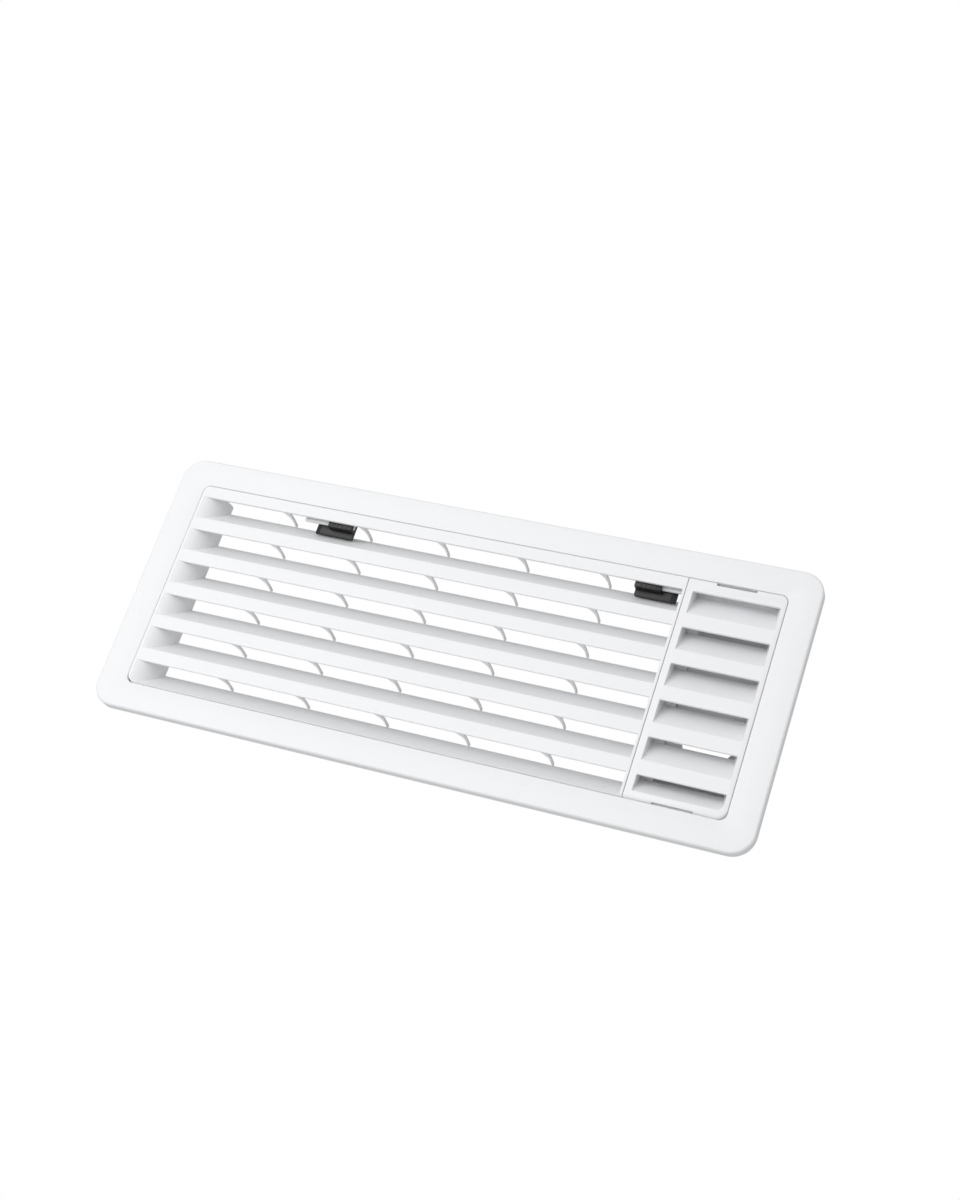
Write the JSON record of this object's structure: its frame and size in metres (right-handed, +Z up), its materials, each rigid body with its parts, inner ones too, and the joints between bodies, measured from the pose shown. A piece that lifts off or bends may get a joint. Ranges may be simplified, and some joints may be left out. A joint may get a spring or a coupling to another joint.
{
  "type": "louvred air grille",
  "caption": "White outside-wall air grille: a flanged frame, a lift-off louvre panel held by two sliding latches, and a push-in flue cover.",
  "frame": {"origin": "centre of the wall opening, on the outside face of the wall, where the back of the flange rests", "axes": "+X to the right seen from outside, +Y into the wall, +Z up; the louvres face -Y"},
  "size_m": [0.453, 0.049, 0.187],
  "materials": {
    "white_plastic": "fine satin moulding",
    "duct_plastic": "plain moulding",
    "black_plastic": "satin moulding",
    "seal_foam": "closed-cell foam",
    "screw_steel": "plated steel"
  },
  "bodies": {
    "frame": {"wall_frame": "white_plastic", "sealing_strip": "seal_foam", "frame_screw_1": "screw_steel", "frame_screw_2": "screw_steel", "frame_screw_3": "screw_steel", "frame_screw_4": "screw_steel", "frame_screw_5": "screw_steel", "frame_screw_6": "screw_steel"},
    "panel": {"louvre_panel": "white_plastic", "flue_adaptor": "duct_plastic", "flue_baffle": "duct_plastic", "adaptor_screw_1": "screw_steel", "adaptor_screw_2": "screw_steel", "adaptor_screw_3": "screw_steel", "baffle_screw_1": "screw_steel", "baffle_screw_2": "screw_steel"},
    "cover": {"flue_cover": "white_plastic"},
    "latch_left": {"left_latch": "black_plastic"},
    "latch_right": {"right_latch": "black_plastic"}
  },
  "joints": [
    {"name": "panel_tilt", "type": "hinge", "parent": "frame", "child": "panel", "pos_m": [0, -0.005, -0.0726], "axis": [1, 0, 0], "range_deg": [0, 30]},
    {"name": "left_latch_slide", "type": "slide", "parent": "panel", "child": "latch_left", "axis": [-1, 0, 0], "range_m": [0, 0.008]},
    {"name": "right_latch_slide", "type": "slide", "parent": "panel", "child": "latch_right", "axis": [1, 0, 0], "range_m": [0, 0.008]},
    {"name": "flue_cover_pull", "type": "slide", "parent": "panel", "child": "cover", "axis": [0, -1, 0], "range_m": [0, 0.018]}
  ]
}
